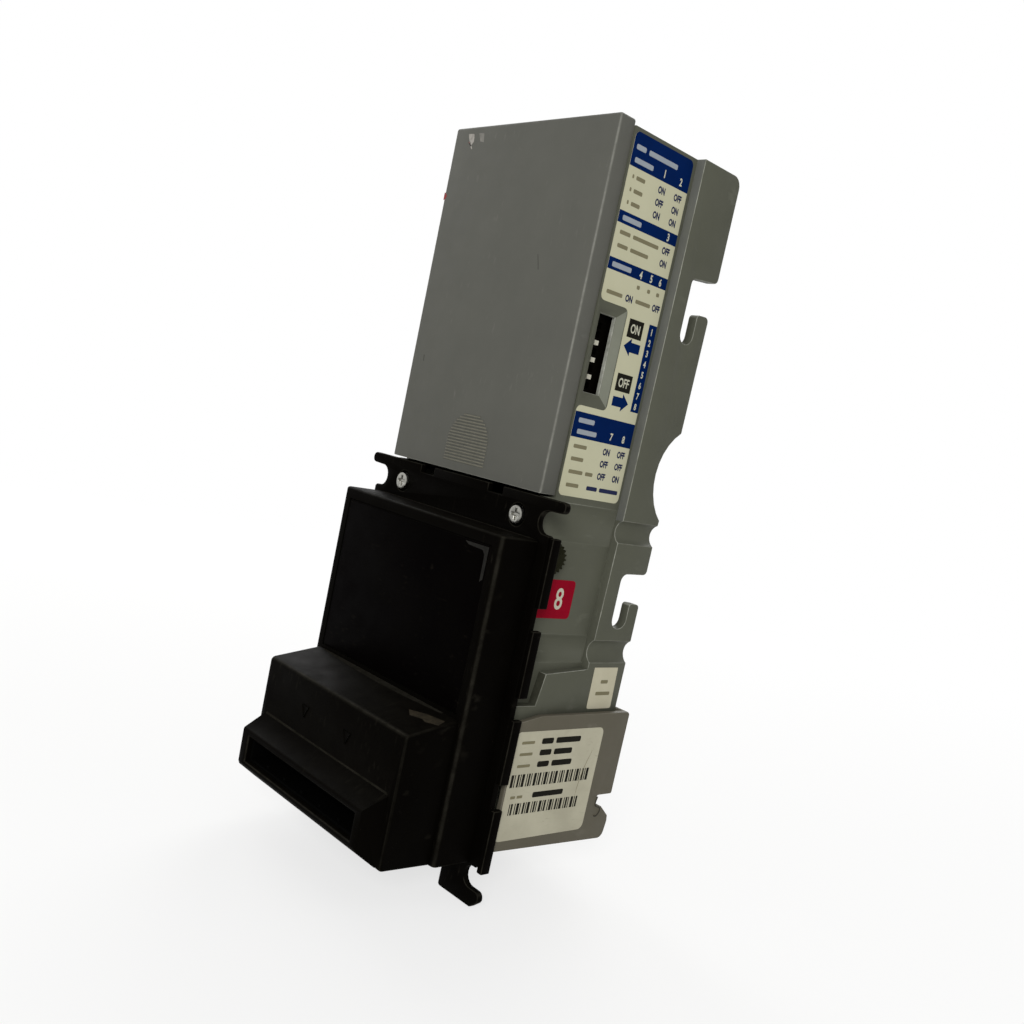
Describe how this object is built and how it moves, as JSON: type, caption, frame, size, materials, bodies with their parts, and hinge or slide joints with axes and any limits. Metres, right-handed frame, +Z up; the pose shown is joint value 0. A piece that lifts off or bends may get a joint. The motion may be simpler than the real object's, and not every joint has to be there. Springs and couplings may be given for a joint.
{
  "type": "bill validator",
  "caption": "Door-mounted bill validator: black bezel with bill mouth, grey chassis with hooked side flanges, slide-off magazine door, lower tray, switches and stacker drive.",
  "frame": {"origin": "on the front face of the bezel flange, midway between its two screws", "axes": "+X right seen from the front, +Y to the rear, +Z up"},
  "size_m": [0.112, 0.1124, 0.2744],
  "materials": {
    "grey_abs": "fine matte moulded",
    "black_abs": "satin moulded, worn",
    "black_panel": "smooth",
    "dark_guide_plastic": "smooth",
    "ivory_slider": "smooth",
    "natural_nylon": "smooth",
    "black_rubber": "matte",
    "zinc_steel": "zinc plated",
    "motor_can": "drawn can",
    "circuit_board": "solder resist"
  },
  "bodies": {
    "chassis": {"right_side_wall": "grey_abs", "left_side_wall": "grey_abs", "rear_guide": "dark_guide_plastic", "rear_cover": "grey_abs", "stack_window": "dark_guide_plastic", "upper_guide": "dark_guide_plastic", "bezel": "black_abs", "bezel_window": "black_panel", "bezel_screw_left": "zinc_steel", "bezel_screw_right": "zinc_steel", "mouth_guide": "dark_guide_plastic", "motor_bracket": "zinc_steel", "transport_motor": "motor_can", "stacker_motor": "motor_can", "stacker_bracket": "zinc_steel", "control_board": "circuit_board", "switch_board": "circuit_board", "dip_switch_body": "black_abs", "upper_sensor_board": "circuit_board", "belt_left": "black_rubber", "belt_right": "black_rubber", "harness_socket": "black_abs"},
    "magazine_door": {"magazine_door": "grey_abs", "pressure_spring": "zinc_steel"},
    "pressure_plate": {"pressure_plate": "dark_guide_plastic"},
    "feed_drive": {"feed_shaft": "zinc_steel", "feed_roller_left": "black_rubber", "feed_roller_right": "black_rubber", "feed_gear": "natural_nylon"},
    "lift_drive": {"lift_shaft": "zinc_steel", "lift_pulley_left": "natural_nylon", "lift_pulley_right": "natural_nylon", "lift_gear": "natural_nylon"},
    "upper_drive": {"upper_shaft": "zinc_steel", "upper_pulley_left": "natural_nylon", "upper_pulley_right": "natural_nylon"},
    "motor_pinion": {"motor_pinion": "natural_nylon"},
    "thumb_drive": {"thumb_shaft": "zinc_steel", "thumb_wheel": "black_abs", "transfer_gear": "natural_nylon"},
    "idler_gear_upper": {"idler_gear_upper": "natural_nylon"},
    "idler_gear_lower": {"idler_gear_lower": "natural_nylon"},
    "stacker_drive": {"stacker_shaft": "zinc_steel", "stacker_gear": "natural_nylon"},
    "stacker_pinion": {"stacker_motor_pinion": "natural_nylon"},
    "pusher": {"pusher": "dark_guide_plastic"},
    "lower_housing": {"lower_housing": "grey_abs", "lower_guide": "dark_guide_plastic", "lower_sensor_board": "circuit_board"},
    "idler_roller_left": {"idler_roller_left": "black_rubber"},
    "idler_roller_right": {"idler_roller_right": "black_rubber"},
    "dip_slider_1": {"dip_slider_1": "ivory_slider"},
    "dip_slider_2": {"dip_slider_2": "ivory_slider"},
    "dip_slider_3": {"dip_slider_3": "ivory_slider"},
    "dip_slider_4": {"dip_slider_4": "ivory_slider"},
    "dip_slider_5": {"dip_slider_5": "ivory_slider"},
    "dip_slider_6": {"dip_slider_6": "ivory_slider"},
    "dip_slider_7": {"dip_slider_7": "ivory_slider"},
    "dip_slider_8": {"dip_slider_8": "ivory_slider"}
  },
  "joints": [
    {"name": "magazine_door_slide", "type": "slide", "parent": "chassis", "child": "magazine_door", "axis": [0, 0, 1], "range_m": [0, 0.135]},
    {"name": "pressure_plate_slide", "type": "slide", "parent": "magazine_door", "child": "pressure_plate", "axis": [0, -1, 0], "range_m": [0, 0.018], "stiffness_N_per_m": 120, "springref_m": -0.012, "deforming": ["pressure_spring"]},
    {"name": "feed_shaft_spin", "type": "hinge", "parent": "chassis", "child": "feed_drive", "pos_m": [0, 0.014, -0.10119], "axis": [1, 0, 0], "continuous": true},
    {"name": "lift_shaft_spin", "type": "hinge", "parent": "chassis", "child": "lift_drive", "pos_m": [0, 0.0452, -0.05387], "axis": [1, 0, 0], "continuous": true},
    {"name": "upper_shaft_spin", "type": "hinge", "parent": "chassis", "child": "upper_drive", "pos_m": [0, 0.0452, 0.118], "axis": [1, 0, 0], "continuous": true},
    {"name": "motor_pinion_spin", "type": "hinge", "parent": "chassis", "child": "motor_pinion", "pos_m": [0.0346, 0.0145, -0.02519], "axis": [1, 0, 0], "continuous": true},
    {"name": "thumb_wheel_spin", "type": "hinge", "parent": "chassis", "child": "thumb_drive", "pos_m": [0.0435, 0.0105, -0.0123], "axis": [1, 0, 0], "continuous": true},
    {"name": "idler_gear_upper_spin", "type": "hinge", "parent": "chassis", "child": "idler_gear_upper", "pos_m": [0.0346, 0.0195, -0.04559], "axis": [1, 0, 0], "continuous": true},
    {"name": "idler_gear_lower_spin", "type": "hinge", "parent": "chassis", "child": "idler_gear_lower", "pos_m": [0.0346, 0.0222, -0.07547], "axis": [1, 0, 0], "continuous": true},
    {"name": "pusher_slide", "type": "slide", "parent": "chassis", "child": "pusher", "axis": [0, -1, 0], "range_m": [0, 0.0098]},
    {"name": "stacker_shaft_turn", "type": "hinge", "parent": "chassis", "child": "stacker_drive", "pos_m": [0, 0.047, 0.075], "axis": [-1, 0, 0], "range_deg": [0, 141]},
    {"name": "stacker_pinion_turn", "type": "hinge", "parent": "chassis", "child": "stacker_pinion", "pos_m": [0.012, 0.0502, 0.0876], "axis": [1, 0, 0], "range_deg": [0, 164.5]},
    {"name": "lower_housing_slide", "type": "slide", "parent": "chassis", "child": "lower_housing", "axis": [0, 1, 0], "range_m": [0, 0.075]},
    {"name": "idler_roller_left_spin", "type": "hinge", "parent": "lower_housing", "child": "idler_roller_left", "pos_m": [-0.018, 0.014, -0.11333], "axis": [1, 0, 0], "continuous": true},
    {"name": "idler_roller_right_spin", "type": "hinge", "parent": "lower_housing", "child": "idler_roller_right", "pos_m": [0.018, 0.014, -0.11333], "axis": [1, 0, 0], "continuous": true},
    {"name": "dip_slide_1", "type": "slide", "parent": "chassis", "child": "dip_slider_1", "axis": [0, 1, 0], "range_m": [0, 0.0026]},
    {"name": "dip_slide_2", "type": "slide", "parent": "chassis", "child": "dip_slider_2", "axis": [0, 1, 0], "range_m": [0, 0.0026]},
    {"name": "dip_slide_3", "type": "slide", "parent": "chassis", "child": "dip_slider_3", "axis": [0, -1, 0], "range_m": [0, 0.0026]},
    {"name": "dip_slide_4", "type": "slide", "parent": "chassis", "child": "dip_slider_4", "axis": [0, 1, 0], "range_m": [0, 0.0026]},
    {"name": "dip_slide_5", "type": "slide", "parent": "chassis", "child": "dip_slider_5", "axis": [0, -1, 0], "range_m": [0, 0.0026]},
    {"name": "dip_slide_6", "type": "slide", "parent": "chassis", "child": "dip_slider_6", "axis": [0, 1, 0], "range_m": [0, 0.0026]},
    {"name": "dip_slide_7", "type": "slide", "parent": "chassis", "child": "dip_slider_7", "axis": [0, -1, 0], "range_m": [0, 0.0026]},
    {"name": "dip_slide_8", "type": "slide", "parent": "chassis", "child": "dip_slider_8", "axis": [0, 1, 0], "range_m": [0, 0.0026]}
  ],
  "couplings": [
    {"joint": "idler_gear_lower_spin", "follows": "feed_shaft_spin", "ratio": -0.8},
    {"joint": "idler_gear_upper_spin", "follows": "feed_shaft_spin", "ratio": 0.8},
    {"joint": "motor_pinion_spin", "follows": "feed_shaft_spin", "ratio": -2},
    {"joint": "thumb_wheel_spin", "follows": "feed_shaft_spin", "ratio": 1.6},
    {"joint": "lift_shaft_spin", "follows": "feed_shaft_spin", "ratio": -1},
    {"joint": "upper_shaft_spin", "follows": "feed_shaft_spin", "ratio": -1},
    {"joint": "stacker_shaft_turn", "follows": "pusher_slide", "rad_per_m": 250},
    {"joint": "stacker_pinion_turn", "follows": "pusher_slide", "rad_per_m": 291.67}
  ]
}
